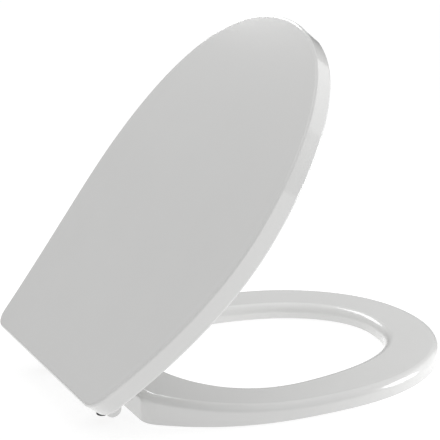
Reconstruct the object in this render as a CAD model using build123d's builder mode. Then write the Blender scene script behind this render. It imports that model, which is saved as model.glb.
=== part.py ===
from build123d import *
from math import cos, pi, sin
import os

os.makedirs("parts", exist_ok=True)

# Everything is in millimetres and degrees.
# The origin lies midway between the feet of the two hinge posts, straight below the hinge
# axis. +Z is up, and the front of the seat points along -Y. Lengths called front, widest
# and rear are measured forward from the hinge axis, and heights from the rim of the pan.

# Hinge line and the pose in which the seat stands
hinge_height = 25.0
post_spacing = 157.0
post_foot_height = 7.8
lid_open_angle = 52.2

# Plan of the seat ring
ring_width = 351.0
ring_front = 435.2
ring_widest = 233.7
ring_rear = 32.6
ring_fullness = 2.08
ring_narrowing = 0.37
ring_side_power = 2.8
ring_corner_radius = 25.0

# Opening of the seat ring
opening_width = 236.0
opening_front = 375.0
opening_widest = 191.5
opening_rear = 82.0
opening_fullness = 2.2

# Side view and walls of the seat ring
ring_clearance = 3.0
ring_height = 17.0
ring_rise = 20.8
ring_rise_length = 215.6
ring_outer_edge_radius = 8.0
ring_inner_edge_radius = 10.0
ring_wall = 4.0
ring_ceiling = 4.0
ring_inner_wall = 5.5
ring_rib_width = 2.5
ring_rib_count = 10

# Plan of the lid
lid_width = 377.6
lid_front = 435.7
lid_widest = 193.9
lid_rear = -8.5
lid_fullness = 2.22
lid_narrowing = 0.26
lid_side_power = 1.6
lid_corner_radius = 23.3

# Side view and walls of the lid
lid_gap = 2.8
lid_height = 22.3
lid_rise = 20.0
lid_rise_length = 211.7
lid_front_lift = 4.7
lid_wall = 3.5
lid_edge_radius = 2.6

# Hinge posts
post_width = 13.0
barrel_diameter = 16.0
stem_diameter = 12.0
stem_edge_radius = 1.5
insert_diameter = 8.0
insert_length = 7.0
thread_bore = 5.0

# Ears of the ring and the lid, and what turns in them
ear_gap = 0.5
ear_width = 24.0
ear_diameter = 17.0
ear_end_wall = 2.4
ear_leg = 12.0
pin_diameter = 6.0
pin_across_flats = 4.6
journal_length = 18.0
bush_diameter = 10.6
damper_diameter = 13.6
damper_key = 6.0
damper_wall = 1.5
rotor_diameter = 9.4
rotor_clearance = 0.3
cap_thickness = 3.0
rotor_socket = 6.0
fit_clearance = 0.05
running_clearance = 0.1
end_clearance = 0.3

# Rubber bumpers
ring_bumper_length = 30.0
ring_bumper_width = 12.0
bumper_plug_diameter = 5.0
bumper_plug_length = 4.0
lid_bumper_diameter = 12.0
lid_bumper_thickness = 4.0
lid_boss_diameter = 16.0
lid_bumper_clearance = 0.3
front_bumper_forward = 347.0
front_bumper_side = 108.0
rear_bumper_forward = 112.0
rear_bumper_side = 124.0

# Planes. A plan plane looks straight down on a closed moulding. In a side plane the first
# coordinate runs forward and the second one up. Those of the lid are turned open with it.
hinge_axis = Location((0, 0, hinge_height - post_foot_height))
open_turn = hinge_axis * Rot(-lid_open_angle, 0, 0) * hinge_axis.inverse()
ring_plan = Plane.XY.offset(-post_foot_height)
ring_side = Plane(origin=ring_plan.origin, x_dir=(0, -1, 0), z_dir=(-1, 0, 0))
lid_plan = Plane(open_turn * ring_plan.location)
lid_side = Plane(open_turn * ring_side.location)


def plan_outline(width, front, widest, rear, fullness, narrowing, power):
    """Outline of a moulding: a curve down each side from the nose, and a straight rear."""
    side = []
    for step in range(6):
        share = 1 - step / 6
        across = width / 2 * (1 - narrowing * share**power)
        side.append((across, -(widest - share * (widest - rear))))
    for degrees in (90, 75, 60, 45, 30, 15):
        angle = degrees * pi / 180
        across = width / 2 * sin(angle) ** (2 / fullness)
        side.append((across, -(widest + (front - widest) * cos(angle) ** (2 / fullness))))
    side.append((0, -front))
    spread = width / 2 * narrowing * power / (widest - rear)
    right = Spline(side, tangents=[(spread, -1), (-1, 0)], tangent_scalars=[1.0, 1.0])
    left = mirror(right, about=Plane.YZ)
    Line(right @ 0, left @ 0)


def ring_outline(inset):
    plan_outline(
        ring_width - 2 * inset,
        ring_front - inset,
        ring_widest,
        ring_rear + inset,
        ring_fullness,
        ring_narrowing,
        ring_side_power,
    )


def lid_outline(inset):
    plan_outline(
        lid_width - 2 * inset,
        lid_front - inset,
        lid_widest,
        lid_rear + inset,
        lid_fullness,
        lid_narrowing,
        lid_side_power,
    )


def opening_outline(outset):
    """Egg-shaped outline of the opening: a long nose and a short rear."""
    points = []
    for degrees in range(0, 360, 20):
        angle = degrees * pi / 180
        reach = opening_front - opening_widest if cos(angle) > 0 else opening_widest - opening_rear
        across = (opening_width / 2 + outset) * abs(sin(angle)) ** (2 / opening_fullness)
        along = (reach + outset) * abs(cos(angle)) ** (2 / opening_fullness)
        sign = 1 if sin(angle) >= 0 else -1
        way = 1 if cos(angle) >= 0 else -1
        points.append((sign * across, -opening_widest - way * along))
    return Spline(points, periodic=True)


def rise(forward, climb, climb_length):
    """How far a surface has climbed, towards the hinge, at a distance forward of it."""
    return climb * (max(0.0, climb_length - forward) / climb_length) ** 2


def side_curve(height, start, end, lift, climb, climb_length):
    """Side view of a surface: it falls from the hinge, runs level, then lifts at the nose."""
    first = rise(start, climb, climb_length)
    middle = (start + climb_length) / 2
    fall = Bezier((start, height + first), (middle, height), (climb_length, height))
    nose_middle = (climb_length + end) / 2
    run = Bezier((climb_length, height), (nose_middle, height), (end, height + lift))
    return fall, run


def ring_curve(height):
    return side_curve(height, 0, ring_front + 20, 0, ring_rise, ring_rise_length)


def lid_curve(height):
    return side_curve(height, lid_rear - 20, lid_front + 20, lid_front_lift, lid_rise, lid_rise_length)


def side_plane(x, base):
    """Side plane at a given x. What is extruded from it runs towards -X."""
    return base.offset(-x)


def pin_section(clearance):
    """Section of a hinge pin: round, with two flats."""
    Circle(pin_diameter / 2 + clearance)
    Rectangle(pin_diameter + 2, pin_across_flats + 2 * clearance, mode=Mode.INTERSECT)


def damper_section(clearance):
    """Section of a damper housing: round, with one flat that keys it in its ear."""
    Circle(damper_diameter / 2 + clearance)
    keyed = damper_diameter / 2 + damper_key + clearance
    with Locations((-damper_diameter / 2, 0)):
        Rectangle(keyed, damper_diameter + 2, align=(Align.MIN, Align.CENTER), mode=Mode.INTERSECT)


# Places along the hinge line
post_inner = post_spacing / 2 - post_width / 2
post_outer = post_spacing / 2 + post_width / 2
ring_ear_face = post_inner - ear_gap
ring_ear_end = ring_ear_face - ear_width
lid_ear_face = post_outer + ear_gap
lid_ear_end = lid_ear_face + ear_width
pocket_depth = ear_width - ear_end_wall
damper_length = pocket_depth - end_clearance
rotor_end = damper_length - damper_wall - end_clearance
rotor_start = cap_thickness + end_clearance

# Places of the bumpers, as pairs of a side distance and a forward distance
bumper_places = [(front_bumper_side, front_bumper_forward), (rear_bumper_side, rear_bumper_forward)]
ring_top = ring_clearance + ring_height
lid_rim = ring_top + lid_gap
lid_top = lid_rim + lid_height

# Space under the seat ring, with a web left at each rib and a block at each bumper
with BuildPart() as ring_hollow:
    with BuildSketch(ring_plan):
        with BuildLine():
            ring_outline(ring_wall)
        make_face()
        with BuildLine():
            opening_outline(ring_inner_wall)
        make_face(mode=Mode.SUBTRACT)
    extrude(amount=ring_height + ring_rise)
    with BuildSketch(side_plane(ring_width, ring_side)):
        with BuildLine():
            fall, run = ring_curve(ring_top - ring_ceiling)
            Polyline(run @ 1, (ring_front + 20, 0), (0, 0), fall @ 0)
        make_face()
    extrude(amount=2 * ring_width, mode=Mode.INTERSECT)
    with Locations((0, -opening_widest, 0)):
        with PolarLocations(0, ring_rib_count, start_angle=90 / ring_rib_count):
            Box(500, ring_rib_width, 100, align=(Align.MIN, Align.CENTER, Align.CENTER), mode=Mode.SUBTRACT)
    for side, forward in bumper_places:
        for place in (side, -side):
            with Locations((place, -forward, 0)):
                Box(ring_bumper_width + 4, ring_bumper_length + 4, 100, mode=Mode.SUBTRACT)

# Seat ring
with BuildPart() as seat_ring:
    with BuildSketch(ring_plan.offset(ring_clearance)) as ring_foot:
        with BuildLine():
            ring_outline(0)
        make_face()
        fillet(ring_foot.vertices().group_by(Axis.Y)[-1], radius=ring_corner_radius)
    extrude(amount=ring_height + ring_rise + 10)
    with BuildSketch(side_plane(ring_width, ring_side)):
        with BuildLine():
            fall, run = ring_curve(ring_top)
            Polyline(run @ 1, (ring_front + 20, ring_clearance), (0, ring_clearance), fall @ 0)
        make_face()
    extrude(amount=2 * ring_width, mode=Mode.INTERSECT)
    crown = seat_ring.faces().sort_by(lambda face: face.center().Z)[-1]
    fillet(crown.edges(), radius=ring_outer_edge_radius)
    with BuildSketch(ring_plan):
        with BuildLine():
            opening_outline(0)
        make_face()
    extrude(amount=ring_height + ring_rise + 20, mode=Mode.SUBTRACT)
    crown = seat_ring.faces().filter_by(GeomType.PLANE, reverse=True).sort_by(SortBy.AREA)[-1]
    fillet(crown.inner_wires()[0].edges(), radius=ring_inner_edge_radius)
    add(ring_hollow.part, mode=Mode.SUBTRACT)
    for side in (1, -1):
        with BuildSketch(side_plane(max(side * ring_ear_end, side * ring_ear_face), ring_side)):
            with Locations((0, hinge_height)):
                Circle(ear_diameter / 2)
                Rectangle(ring_rear + ring_wall - 1, ear_leg, align=(Align.MIN, Align.CENTER))
        extrude(amount=ear_width)
    with BuildSketch(side_plane(ring_ear_face, ring_side)):
        with Locations((0, hinge_height)):
            damper_section(fit_clearance)
    extrude(amount=pocket_depth, mode=Mode.SUBTRACT)
    with BuildSketch(side_plane(-ring_ear_face + pocket_depth, ring_side)):
        with Locations((0, hinge_height)):
            Circle(bush_diameter / 2 + fit_clearance)
    extrude(amount=pocket_depth, mode=Mode.SUBTRACT)
    for side, forward in bumper_places:
        for place in (side, -side):
            with BuildSketch(ring_plan.offset(ring_clearance)):
                with Locations((place, -forward)):
                    with GridLocations(0, ring_bumper_length / 2, 1, 2):
                        Circle(bumper_plug_diameter / 2 + fit_clearance)
            extrude(amount=bumper_plug_length + end_clearance, mode=Mode.SUBTRACT)
seat_ring.part.label = "seat_ring"
export_step(seat_ring.part, "parts/seat_ring.step")

# Space under the lid
with BuildPart() as lid_hollow:
    with BuildSketch(lid_plan) as hollow_plan:
        with BuildLine():
            lid_outline(lid_wall)
        make_face()
        fillet(hollow_plan.vertices().group_by(Axis.Y)[-1], radius=lid_corner_radius - lid_wall)
    extrude(amount=lid_top + lid_rise + 10)
    with BuildSketch(side_plane(lid_width, lid_side)):
        with BuildLine():
            fall, run = lid_curve(lid_top - lid_wall)
            Polyline(run @ 1, (lid_front + 20, 0), (lid_rear - 20, 0), fall @ 0)
        make_face()
    extrude(amount=2 * lid_width, mode=Mode.INTERSECT)

# Lid
with BuildPart() as lid:
    with BuildSketch(lid_plan) as lid_foot:
        with BuildLine():
            lid_outline(0)
        make_face()
        fillet(lid_foot.vertices().group_by(Axis.Y)[-1], radius=lid_corner_radius)
    extrude(amount=lid_top + lid_rise + 30)
    with BuildSketch(side_plane(lid_width, lid_side)):
        with BuildLine():
            fall, run = lid_curve(lid_top)
            rim_fall, rim_run = lid_curve(lid_rim)
            Line(run @ 1, rim_run @ 1)
            Line(fall @ 0, rim_fall @ 0)
        make_face()
    extrude(amount=2 * lid_width, mode=Mode.INTERSECT)
    upper = lid.faces().sort_by(Axis(hinge_axis.position, lid_plan.z_dir))[-1]
    fillet(upper.edges(), radius=lid_edge_radius)
    add(lid_hollow.part, mode=Mode.SUBTRACT)
    for side in (1, -1):
        with BuildSketch(side_plane(max(side * lid_ear_face, side * lid_ear_end), lid_side)):
            with Locations((0, hinge_height)):
                Circle(ear_diameter / 2)
            with BuildLine():
                rear_leg = lid_rear + lid_wall / 2
                front_leg = ear_diameter / 2
                low_left = (rear_leg, hinge_height)
                low_right = (front_leg, hinge_height)
                leg_head = lid_top - lid_wall / 2 + rise(front_leg, lid_rise, lid_rise_length)
                high_right = (front_leg, leg_head)
                high_left = (rear_leg, leg_head)
                Polyline(low_left, low_right, high_right, high_left, close=True)
            make_face()
        extrude(amount=ear_width)
    with BuildSketch(side_plane(-lid_ear_face, lid_side)):
        with Locations((0, hinge_height)):
            damper_section(fit_clearance)
    extrude(amount=pocket_depth, mode=Mode.SUBTRACT)
    with BuildSketch(side_plane(lid_ear_face + pocket_depth, lid_side)):
        with Locations((0, hinge_height)):
            Circle(bush_diameter / 2 + fit_clearance)
    extrude(amount=pocket_depth, mode=Mode.SUBTRACT)
    for side, forward in bumper_places:
        boss_foot = ring_top + rise(forward - lid_bumper_diameter / 2, ring_rise, ring_rise_length) + lid_bumper_clearance + lid_bumper_thickness
        boss_head = lid_top - lid_wall / 2 + rise(forward + lid_boss_diameter / 2, lid_rise, lid_rise_length)
        for place in (side, -side):
            with BuildSketch(lid_plan.offset(boss_foot)):
                with Locations((place, -forward)):
                    Circle(lid_boss_diameter / 2)
            extrude(amount=boss_head - boss_foot)
            with BuildSketch(lid_plan.offset(boss_foot)):
                with Locations((place, -forward)):
                    Circle(bumper_plug_diameter / 2 + fit_clearance)
            extrude(amount=bumper_plug_length + end_clearance, mode=Mode.SUBTRACT)
lid.part.label = "lid"
export_step(lid.part, "parts/lid.step")


# Hinge posts, each with a barrel on a round stem, a keyed bore and a bore for its insert
for name, x in (("left", -post_spacing / 2), ("right", post_spacing / 2)):
    with BuildPart() as hinge_post:
        with BuildSketch(Plane.XY):
            with Locations((x, 0)):
                Circle(stem_diameter / 2)
        extrude(amount=hinge_height - post_foot_height)
        fillet(hinge_post.edges().group_by(Axis.Z)[0], radius=stem_edge_radius)
        with BuildSketch(side_plane(x + post_width / 2, ring_side)):
            with Locations((0, hinge_height)):
                Circle(barrel_diameter / 2)
        extrude(amount=post_width)
        with BuildSketch(side_plane(x + post_width / 2, ring_side)):
            with Locations((0, hinge_height)):
                pin_section(fit_clearance)
        extrude(amount=post_width, mode=Mode.SUBTRACT)
        with BuildSketch(Plane.XY):
            with Locations((x, 0)):
                Circle(insert_diameter / 2 + fit_clearance)
        extrude(amount=insert_length + end_clearance, mode=Mode.SUBTRACT)
    hinge_post.part.label = "hinge_post_" + name
    export_step(hinge_post.part, "parts/hinge_post_" + name + ".step")

# Brass inserts that take the fixing bolts from below
for name, x in (("left", -post_spacing / 2), ("right", post_spacing / 2)):
    with BuildPart() as post_insert:
        with BuildSketch(Plane.XY):
            with Locations((x, 0)):
                Circle(insert_diameter / 2)
                Circle(thread_bore / 2, mode=Mode.SUBTRACT)
        extrude(amount=insert_length)
    post_insert.part.label = "post_insert_" + name
    export_step(post_insert.part, "parts/post_insert_" + name + ".step")

# Hinge pins: a round journal towards the bushed ear, two flats through post and rotor
lid_journal_end = lid_ear_face + journal_length
ring_journal_end = ring_ear_face - journal_length
lid_key_end = lid_ear_face + rotor_start + rotor_socket
ring_key_end = ring_ear_face - rotor_start - rotor_socket
pin_ends = {
    "hinge_pin_left": (-lid_key_end, -ring_journal_end, -lid_key_end, -post_inner),
    "hinge_pin_right": (ring_key_end, lid_journal_end, ring_key_end, post_outer),
}
for name, (start, end, key_start, key_end) in pin_ends.items():
    with BuildPart() as pin:
        with BuildSketch(side_plane(end, ring_side)):
            with Locations((0, hinge_height)):
                Circle(pin_diameter / 2)
        extrude(amount=end - start)
        with BuildSketch(side_plane(key_end, ring_side)):
            with Locations((0, hinge_height)):
                Circle(pin_diameter)
                Rectangle(pin_diameter * 2, pin_across_flats, mode=Mode.SUBTRACT)
        extrude(amount=key_end - key_start, mode=Mode.SUBTRACT)
    pin.part.label = name
    export_step(pin.part, "parts/" + name + ".step")

# Dampers. Each has a housing keyed in its ear, a rotor held by the pin, and a cap.
# The lid's damper lies in its left ear and the ring's in its right ear. Both open
# towards +X, so a damper is drawn from its open face and runs towards -X.
damper_faces = {"lid_damper": (-lid_ear_face, lid_side), "ring_damper": (ring_ear_face, ring_side)}
for name, (face, base) in damper_faces.items():
    with BuildPart() as housing:
        with BuildSketch(side_plane(face, base)):
            with Locations((0, hinge_height)):
                damper_section(0)
        extrude(amount=damper_length)
        with BuildSketch(side_plane(face, base)):
            with Locations((0, hinge_height)):
                Circle(rotor_diameter / 2 + rotor_clearance)
        extrude(amount=damper_length - damper_wall, mode=Mode.SUBTRACT)
    housing.part.label = name + "_housing"
    export_step(housing.part, "parts/" + name + "_housing.step")
    with BuildPart() as rotor:
        with BuildSketch(side_plane(face - rotor_start, ring_side)):
            with Locations((0, hinge_height)):
                Circle(rotor_diameter / 2)
        extrude(amount=rotor_end - rotor_start)
        with BuildSketch(side_plane(face - rotor_start, ring_side)):
            with Locations((0, hinge_height)):
                pin_section(fit_clearance)
        extrude(amount=rotor_socket + end_clearance, mode=Mode.SUBTRACT)
    rotor.part.label = name + "_rotor"
    export_step(rotor.part, "parts/" + name + "_rotor.step")
    with BuildPart() as cap:
        with BuildSketch(side_plane(face, base)):
            with Locations((0, hinge_height)):
                Circle(rotor_diameter / 2 + rotor_clearance - fit_clearance)
                Circle(pin_diameter / 2 + rotor_clearance, mode=Mode.SUBTRACT)
        extrude(amount=cap_thickness)
    cap.part.label = name + "_cap"
    export_step(cap.part, "parts/" + name + "_cap.step")

# Plain bushes in the other two ears
bush_length = pocket_depth - end_clearance
bush_faces = {"lid_bush": lid_ear_face + bush_length, "ring_bush": bush_length - ring_ear_face}
for name, face in bush_faces.items():
    with BuildPart() as bush:
        with BuildSketch(side_plane(face, ring_side)):
            with Locations((0, hinge_height)):
                Circle(bush_diameter / 2)
                Circle(pin_diameter / 2 + running_clearance, mode=Mode.SUBTRACT)
        extrude(amount=bush_length)
    bush.part.label = name
    export_step(bush.part, "parts/" + name + ".step")

# Bumpers under the ring: an oblong pad with two plugs that press into the ring
corner_names = {
    "front_left": (-front_bumper_side, front_bumper_forward),
    "front_right": (front_bumper_side, front_bumper_forward),
    "rear_left": (-rear_bumper_side, rear_bumper_forward),
    "rear_right": (rear_bumper_side, rear_bumper_forward),
}
for corner, (side, forward) in corner_names.items():
    with BuildPart() as bumper:
        with BuildSketch(ring_plan):
            with Locations((side, -forward)):
                SlotOverall(ring_bumper_length, ring_bumper_width, rotation=90)
        extrude(amount=ring_clearance)
        chamfer(bumper.edges().group_by(Axis.Z)[0], length=ring_clearance / 4)
        with BuildSketch(ring_plan.offset(ring_clearance)):
            with Locations((side, -forward)):
                with GridLocations(0, ring_bumper_length / 2, 1, 2):
                    Circle(bumper_plug_diameter / 2)
        extrude(amount=bumper_plug_length)
    bumper.part.label = "ring_bumper_" + corner
    export_step(bumper.part, "parts/ring_bumper_" + corner + ".step")

# Bumpers under the lid: a round pad with one plug that presses into its boss
for corner, (side, forward) in corner_names.items():
    foot = ring_top + rise(forward - lid_bumper_diameter / 2, ring_rise, ring_rise_length) + lid_bumper_clearance
    with BuildPart() as bumper:
        with BuildSketch(lid_plan.offset(foot)):
            with Locations((side, -forward)):
                Circle(lid_bumper_diameter / 2)
        extrude(amount=lid_bumper_thickness)
        with BuildSketch(lid_plan.offset(foot + lid_bumper_thickness)):
            with Locations((side, -forward)):
                Circle(bumper_plug_diameter / 2)
        extrude(amount=bumper_plug_length)
    bumper.part.label = "lid_bumper_" + corner
    export_step(bumper.part, "parts/lid_bumper_" + corner + ".step")
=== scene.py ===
import bpy
import math
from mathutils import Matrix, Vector


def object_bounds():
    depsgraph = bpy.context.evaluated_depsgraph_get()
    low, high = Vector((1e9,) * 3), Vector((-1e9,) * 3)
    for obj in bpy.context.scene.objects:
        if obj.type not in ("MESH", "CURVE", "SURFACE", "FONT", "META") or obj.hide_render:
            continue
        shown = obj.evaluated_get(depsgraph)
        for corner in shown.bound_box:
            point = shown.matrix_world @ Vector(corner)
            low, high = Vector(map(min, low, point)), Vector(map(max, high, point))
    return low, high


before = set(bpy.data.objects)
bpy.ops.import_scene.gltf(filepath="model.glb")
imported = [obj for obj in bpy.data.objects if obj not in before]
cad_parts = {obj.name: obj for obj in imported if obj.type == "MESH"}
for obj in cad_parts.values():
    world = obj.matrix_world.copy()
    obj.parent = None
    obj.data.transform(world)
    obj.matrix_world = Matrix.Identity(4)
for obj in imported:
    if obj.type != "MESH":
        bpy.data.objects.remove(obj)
cad_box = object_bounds()


# The lid and the seat ring are two hollow injection mouldings of white polypropylene. The lid
# is a crowned plate with a skirt round it, and the ring an upturned channel with ribs across
# it. Both turn on the pins of the hinge posts at the back.
def linear(code):
    """An sRGB hex colour as the linear RGBA that a shader takes."""
    channels = []
    for start in (0, 2, 4):
        value = int(code[start:start + 2], 16) / 255
        channels.append(value / 12.92 if value <= 0.04045 else ((value + 0.055) / 1.055) ** 2.4)
    return (*channels, 1.0)


def per_metre(pitch_mm):
    """The texture scale whose features lie this many millimetres apart."""
    return 1000.0 / pitch_mm


def new_material(name):
    """A material with an empty node tree."""
    material = bpy.data.materials.new(name)
    material.use_nodes = True
    material.node_tree.nodes.clear()
    return material


def add_node(tree, kind, inputs, **settings):
    """Add a node with its settings, and give each named input its value or its link."""
    node = tree.nodes.new(kind)
    for key, value in settings.items():
        setattr(node, key, value)
    for key, value in inputs.items():
        if isinstance(value, bpy.types.NodeSocket):
            tree.links.new(value, node.inputs[key])
        else:
            node.inputs[key].default_value = value
    return node


def dress(names, material):
    """Give the pieces of these names one material."""
    for name in names:
        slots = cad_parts[name].data.materials
        slots.clear()
        slots.append(material)


# The polypropylene comes from a polished tool, a neutral white with a clear reflection. Its
# gloss wanders a little over the width of a hand, and its skin has a very fine ripple.
cloud_width_mm = 70
ripple_width_mm = 1.1
ripple_depth = 0.0002
moulded_white = new_material("glossy white polypropylene")
tree = moulded_white.node_tree
place = add_node(tree, "ShaderNodeTexCoord", {}).outputs["Object"]
cloud = add_node(
    tree, "ShaderNodeTexNoise",
    {"Vector": place, "Scale": per_metre(cloud_width_mm), "Detail": 3.0},
).outputs["Fac"]
colour = add_node(
    tree, "ShaderNodeMix",
    {"Factor": cloud, "A": linear("DEDEDD"), "B": linear("DBDBDA")},
    data_type="RGBA",
).outputs["Result"]
gloss = add_node(
    tree, "ShaderNodeMapRange",
    {"Value": cloud, "To Min": 0.16, "To Max": 0.24},
).outputs["Result"]
ripple = add_node(
    tree, "ShaderNodeTexNoise",
    {"Vector": place, "Scale": per_metre(ripple_width_mm), "Detail": 2.0},
).outputs["Fac"]
skin = add_node(
    tree, "ShaderNodeBump",
    {"Height": ripple, "Strength": 0.02, "Distance": ripple_depth},
).outputs["Normal"]
shader = add_node(tree, "ShaderNodeBsdfPrincipled", {
    "Base Color": colour, "Roughness": gloss, "Normal": skin,
    "IOR": 1.5, "Coat Weight": 1.0, "Coat Roughness": 0.05,
})
add_node(tree, "ShaderNodeOutputMaterial", {"Surface": shader.outputs["BSDF"]})
dress(("lid", "seat_ring"), moulded_white)


# The two hinge posts stand on the pan, each a barrel round the pin on a round stem. They are
# moulded in black nylon with glass fibre, in a tool that was spark eroded.
spark_grain_mm = 0.55
spark_grain_depth = 0.0001
post_black = new_material("satin black nylon")
tree = post_black.node_tree
place = add_node(tree, "ShaderNodeTexCoord", {}).outputs["Object"]
grain = add_node(
    tree, "ShaderNodeTexNoise",
    {"Vector": place, "Scale": per_metre(spark_grain_mm), "Detail": 4.0},
).outputs["Fac"]
colour = add_node(
    tree, "ShaderNodeMix",
    {"Factor": grain, "A": linear("0B0B0C"), "B": linear("19191A")},
    data_type="RGBA",
).outputs["Result"]
gloss = add_node(
    tree, "ShaderNodeMapRange",
    {"Value": grain, "To Min": 0.32, "To Max": 0.46},
).outputs["Result"]
skin = add_node(
    tree, "ShaderNodeBump",
    {"Height": grain, "Strength": 0.15, "Distance": spark_grain_depth},
).outputs["Normal"]
shader = add_node(tree, "ShaderNodeBsdfPrincipled", {
    "Base Color": colour, "Roughness": gloss, "Normal": skin, "IOR": 1.53,
})
add_node(tree, "ShaderNodeOutputMaterial", {"Surface": shader.outputs["BSDF"]})
dress(("hinge_post_left", "hinge_post_right"), post_black)


# A threaded brass insert is pressed into the foot of each post and takes the fixing bolt. It
# is turned from bar, so fine rings run round it, drawn 0.25 mm apart.
turning_pitch_mm = 0.25
streaks_per_metre = 60.0
turned_brass = new_material("turned brass")
tree = turned_brass.node_tree
place = add_node(tree, "ShaderNodeTexCoord", {}).outputs["Object"]
across, along = per_metre(turning_pitch_mm), streaks_per_metre
rings = add_node(
    tree, "ShaderNodeMapping",
    {"Vector": place, "Scale": (along, along, across)},
).outputs["Vector"]
marks = add_node(tree, "ShaderNodeTexNoise", {"Vector": rings, "Scale": 1.0}).outputs["Fac"]
colour = add_node(
    tree, "ShaderNodeMix",
    {"Factor": marks, "A": linear("C9A45A"), "B": linear("B8924A")},
    data_type="RGBA",
).outputs["Result"]
shader = add_node(
    tree, "ShaderNodeBsdfPrincipled",
    {"Base Color": colour, "Metallic": 1.0, "Roughness": 0.3},
)
add_node(tree, "ShaderNodeOutputMaterial", {"Surface": shader.outputs["BSDF"]})
dress(("post_insert_left", "post_insert_right"), turned_brass)


# One stainless pin runs through each post and into the ears on both sides of it. It is drawn
# and centreless ground, which leaves a bright shaft with fine rings round it.
grinding_pitch_mm = 0.25
ground_steel = new_material("ground stainless steel")
tree = ground_steel.node_tree
place = add_node(tree, "ShaderNodeTexCoord", {}).outputs["Object"]
across, along = per_metre(grinding_pitch_mm), streaks_per_metre
rings = add_node(
    tree, "ShaderNodeMapping",
    {"Vector": place, "Scale": (across, along, along)},
).outputs["Vector"]
marks = add_node(tree, "ShaderNodeTexNoise", {"Vector": rings, "Scale": 1.0, "Detail": 3.0}).outputs["Fac"]
colour = add_node(
    tree, "ShaderNodeMix",
    {"Factor": marks, "A": linear("C6C7C8"), "B": linear("B4B5B6")},
    data_type="RGBA",
).outputs["Result"]
gloss = add_node(
    tree, "ShaderNodeMapRange",
    {"Value": marks, "To Min": 0.2, "To Max": 0.34},
).outputs["Result"]
shader = add_node(
    tree, "ShaderNodeBsdfPrincipled",
    {"Base Color": colour, "Metallic": 1.0, "Roughness": gloss},
)
add_node(tree, "ShaderNodeOutputMaterial", {"Surface": shader.outputs["BSDF"]})
dress(("hinge_pin_left", "hinge_pin_right"), ground_steel)


# A rotary damper slows the lid, and another the ring. Each is a keyed housing in its ear, a
# rotor on the flats of the pin and a cap that closes the housing, all moulded in grey acetal.
damper_grain_mm = 0.67
damper_grey = new_material("grey acetal")
tree = damper_grey.node_tree
place = add_node(tree, "ShaderNodeTexCoord", {}).outputs["Object"]
grain = add_node(
    tree, "ShaderNodeTexNoise",
    {"Vector": place, "Scale": per_metre(damper_grain_mm)},
).outputs["Fac"]
colour = add_node(
    tree, "ShaderNodeMix",
    {"Factor": grain, "A": linear("8A8D91"), "B": linear("7D8084")},
    data_type="RGBA",
).outputs["Result"]
shader = add_node(
    tree, "ShaderNodeBsdfPrincipled",
    {"Base Color": colour, "Roughness": 0.48, "IOR": 1.48},
)
add_node(tree, "ShaderNodeOutputMaterial", {"Surface": shader.outputs["BSDF"]})
for owner in ("lid", "ring"):
    dress([f"{owner}_damper_{part}" for part in ("housing", "rotor", "cap")], damper_grey)


# A plain bush carries the other ear of the lid and of the ring. It is moulded in acetal
# without pigment, a slightly warm and waxy white.
flow_mark_mm = 3.3
natural_acetal = new_material("natural acetal")
tree = natural_acetal.node_tree
place = add_node(tree, "ShaderNodeTexCoord", {}).outputs["Object"]
cloud = add_node(
    tree, "ShaderNodeTexNoise",
    {"Vector": place, "Scale": per_metre(flow_mark_mm)},
).outputs["Fac"]
colour = add_node(
    tree, "ShaderNodeMix",
    {"Factor": cloud, "A": linear("E8E6DE"), "B": linear("DEDCD3")},
    data_type="RGBA",
).outputs["Result"]
shader = add_node(
    tree, "ShaderNodeBsdfPrincipled",
    {"Base Color": colour, "Roughness": 0.38, "IOR": 1.48},
)
add_node(tree, "ShaderNodeOutputMaterial", {"Surface": shader.outputs["BSDF"]})
dress(("lid_bush", "ring_bush"), natural_acetal)


# Four bumpers under the ring rest on the pan, and four under the lid rest on the ring. They
# are moulded in a soft thermoplastic elastomer, matt and faintly see-through at the edges,
# and their plugs are pushed into holes in the mouldings.
bloom_width_mm = 4.5
soft_white = new_material("soft white elastomer")
tree = soft_white.node_tree
place = add_node(tree, "ShaderNodeTexCoord", {}).outputs["Object"]
cloud = add_node(
    tree, "ShaderNodeTexNoise",
    {"Vector": place, "Scale": per_metre(bloom_width_mm)},
).outputs["Fac"]
colour = add_node(
    tree, "ShaderNodeMix",
    {"Factor": cloud, "A": linear("E2E1DC"), "B": linear("D6D5CF")},
    data_type="RGBA",
).outputs["Result"]
gloss = add_node(
    tree, "ShaderNodeMapRange",
    {"Value": cloud, "To Min": 0.55, "To Max": 0.7},
).outputs["Result"]
shader = add_node(tree, "ShaderNodeBsdfPrincipled", {
    "Base Color": colour, "Roughness": gloss, "IOR": 1.49,
    "Subsurface Weight": 0.2, "Subsurface Scale": 0.002,
})
add_node(tree, "ShaderNodeOutputMaterial", {"Surface": shader.outputs["BSDF"]})
for owner in ("ring", "lid"):
    for end in ("front", "rear"):
        dress([f"{owner}_bumper_{end}_{side}" for side in ("left", "right")], soft_white)


# The floor is a plain white sweep at the height of the object's lowest point. It glows, as a
# sweep that is lit from behind does, so it stays nearly free of shadow.
floor_half = 60.0
floor_height = cad_box[0][2]
ground = bpy.data.meshes.new("floor")
corner_signs = ((-1, -1), (1, -1), (1, 1), (-1, 1))
corners = [(x * floor_half, y * floor_half, floor_height) for x, y in corner_signs]
ground.from_pydata(corners, [], [(0, 1, 2, 3)])
floor = bpy.data.objects.new("floor", ground)
bpy.context.collection.objects.link(floor)
lit_sweep = new_material("lit sweep")
tree = lit_sweep.node_tree
shader = add_node(tree, "ShaderNodeBsdfPrincipled", {
    "Base Color": linear("959595"), "Roughness": 1.0, "Specular IOR Level": 0.0,
    "Emission Color": linear("FFFFFF"), "Emission Strength": 0.8,
})
add_node(tree, "ShaderNodeOutputMaterial", {"Surface": shader.outputs["BSDF"]})
ground.materials.append(lit_sweep)


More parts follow.
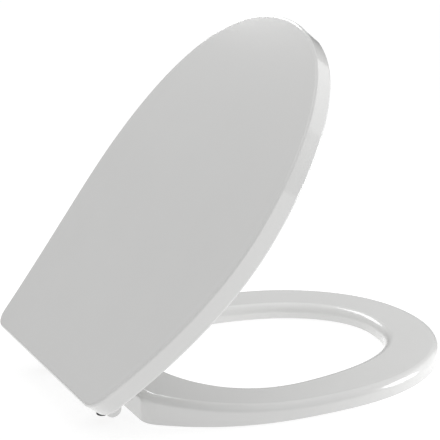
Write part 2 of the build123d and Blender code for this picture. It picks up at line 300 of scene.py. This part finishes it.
# The studio's surround is dim at the horizon and bright overhead, like a white ceiling.
surround = bpy.data.worlds.new("surround")
bpy.context.scene.world = surround
surround.use_nodes = True
tree = surround.node_tree
tree.nodes.clear()
direction = add_node(tree, "ShaderNodeTexCoord", {}).outputs["Generated"]
height = add_node(tree, "ShaderNodeSeparateXYZ", {"Vector": direction}).outputs["Z"]
climb = add_node(
    tree, "ShaderNodeMapRange",
    {"Value": height, "To Min": 0.18, "To Max": 0.96},
).outputs["Result"]
sky = add_node(tree, "ShaderNodeBackground", {"Color": linear("FFFFFF"), "Strength": climb})
add_node(tree, "ShaderNodeOutputWorld", {"Surface": sky.outputs["Background"]})


# Three round softboxes light the object from above, from low in front and from the right, and
# a broad sun fills its front. They leave the back of the raised lid in soft grey.
def hang(name, lamp, place, aim):
    """Put a lamp at its place and turn it to what it lights."""
    holder = bpy.data.objects.new(name, lamp)
    bpy.context.collection.objects.link(holder)
    holder.location = place
    holder.rotation_euler = (Vector(aim) - Vector(place)).to_track_quat("-Z", "Y").to_euler()


# Each softbox by its power in watts, its width, its place and the point that it faces.
softboxes = {
    "softbox above": (0.85, 0.8, (-0.1, 0.05, 1.1), (0.0, -0.2, 0.15)),
    "softbox in front": (2.9, 0.5, (-0.45, -1.0, 0.2), (0.0, -0.4, 0.02)),
    "softbox on the right": (2.2, 0.5, (0.7, -0.3, 0.7), (0.0, -0.3, 0.0)),
}
for name, (watts, width, place, aim) in softboxes.items():
    lamp = bpy.data.lights.new(name, "AREA")
    lamp.shape = "DISK"
    lamp.energy = watts
    lamp.size = width
    hang(name, lamp, place, aim)
sun_spread = 50
lamp = bpy.data.lights.new("broad sun", "SUN")
lamp.energy = 0.4
lamp.angle = math.radians(sun_spread)
hang("broad sun", lamp, (0.0, -2.94, 0.6), (0.0, 0.0, 0.0))


# The camera stands behind the object on its left, at the photograph's angle.
azimuth, elevation = math.radians(242.0), math.radians(18.1)
camera_distance = 1.5
target = Vector((0, -0.202, 0.0952))
back = Vector((
    math.sin(azimuth) * math.cos(elevation),
    -math.cos(azimuth) * math.cos(elevation),
    math.sin(elevation),
))
lens = bpy.data.cameras.new("camera")
lens.lens = 110.76
lens.shift_x = -0.0491
lens.shift_y = 0.1243
camera = bpy.data.objects.new("camera", lens)
bpy.context.collection.objects.link(camera)
camera.location = target + back * camera_distance
camera.rotation_euler = back.to_track_quat("Z", "Y").to_euler()
bpy.context.scene.camera = camera
bpy.context.scene.view_settings.view_transform = "Standard"
